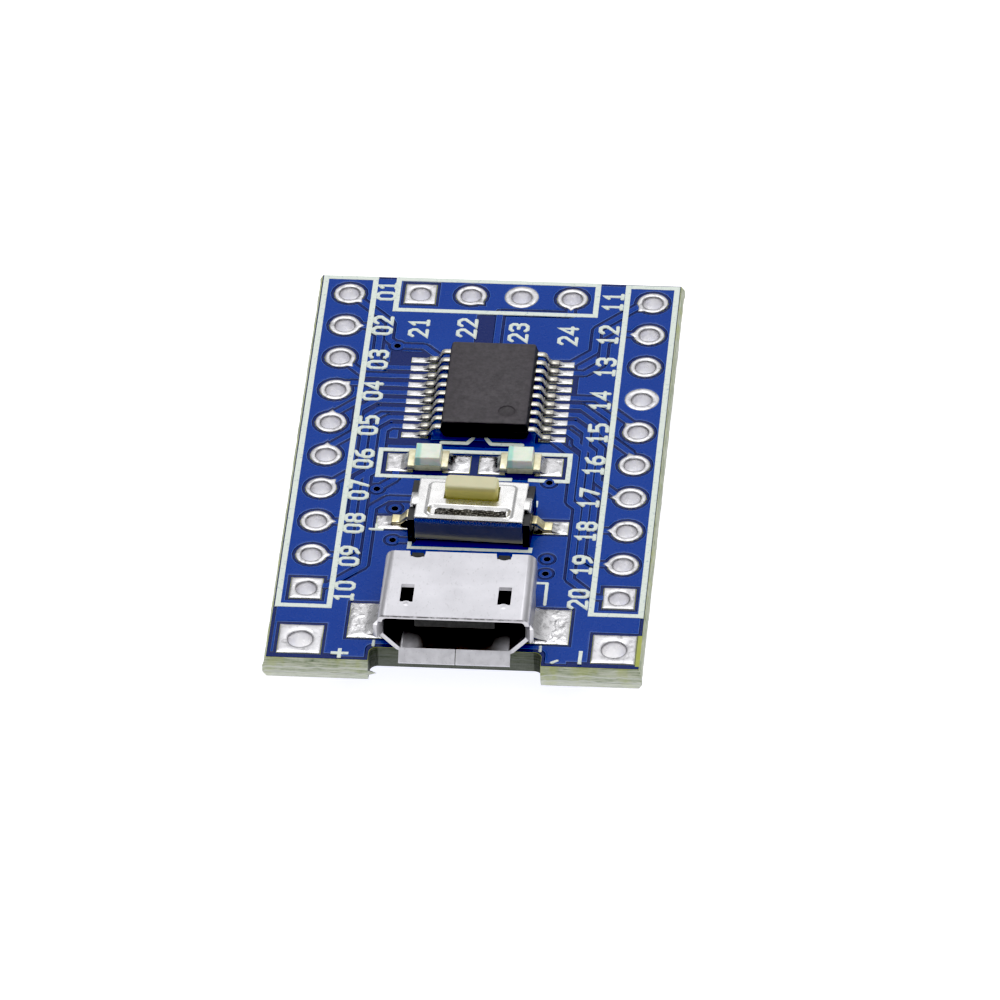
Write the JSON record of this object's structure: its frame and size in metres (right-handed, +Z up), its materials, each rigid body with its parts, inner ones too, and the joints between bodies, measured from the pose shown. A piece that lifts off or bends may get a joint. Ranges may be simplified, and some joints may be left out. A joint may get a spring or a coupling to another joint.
{
  "type": "microcontroller development board",
  "caption": "Small blue microcontroller board with header holes along its edges, a micro-USB socket, a reset button and status lights.",
  "frame": {"origin": "centre of the two long header rows, on the underside of the bare laminate", "axes": "+X right, +Y away from the USB socket, +Z up out of the component side"},
  "size_m": [0.0184, 0.0298, 0.0054],
  "materials": {
    "laminate": "woven glass and epoxy, rough where it was snapped",
    "copper": "etched foil",
    "solder_mask": "glossy blue film",
    "legend": "printed ink",
    "tin": "bright tin",
    "solder": "frozen solder, bright",
    "steel": "satin plated sheet",
    "black_plastic": "moulded",
    "gold": "thin gold plate",
    "plated_brass": "pale plated sheet",
    "plunger": "moulded, slightly waxy",
    "moulding": "fine moulded texture",
    "silicon": "polished",
    "led_base": "cream laminate",
    "lens": "clear tinted epoxy",
    "ceramic": "fired ceramic",
    "alumina": "white ceramic",
    "overcoat": "glass overcoat"
  },
  "bodies": {
    "board": {"laminate": "laminate", "copper_top": "copper", "copper_bottom": "copper", "solder_mask_top": "solder_mask", "solder_mask_bottom": "solder_mask", "silkscreen_top": "legend", "silkscreen_bottom": "legend", "header_barrels_left": "tin", "header_barrels_right": "tin", "header_barrels_top": "tin", "power_pads": "tin", "via_barrels": "copper", "mcu_pads": "tin", "led_pads": "tin", "switch_pads": "tin", "usb_pads": "tin", "bottom_pads": "tin", "solder_joints_top": "solder", "solder_joints_bottom": "solder", "usb_shell": "steel", "usb_insulator": "black_plastic", "usb_contacts": "gold", "switch_base": "black_plastic", "switch_cover": "steel", "switch_dome": "steel", "switch_terminals": "plated_brass", "mcu_body": "moulding", "mcu_leads": "tin", "mcu_die_paddle": "copper", "mcu_die": "silicon", "mcu_bond_wires": "gold", "led_substrates": "led_base", "led_terminals": "plated_brass", "led_lenses": "lens", "led_dies": "silicon", "led_bond_wires": "gold", "regulator_body": "moulding", "regulator_leads": "tin", "regulator_tab": "tin", "regulator_die": "silicon", "bulk_capacitor_bodies": "ceramic", "bulk_capacitor_terminals": "tin", "decoupling_capacitor_bodies": "ceramic", "decoupling_capacitor_terminals": "tin", "resistor_bodies": "alumina", "resistor_overcoats": "overcoat", "resistor_terminals": "tin"},
    "button": {"switch_plunger": "plunger"}
  },
  "joints": [
    {"name": "button_press", "type": "slide", "parent": "board", "child": "button", "axis": [0, 0, -1], "range_m": [0, 0.00025], "stiffness_N_per_m": 6400, "deforming": ["switch_dome"]}
  ]
}
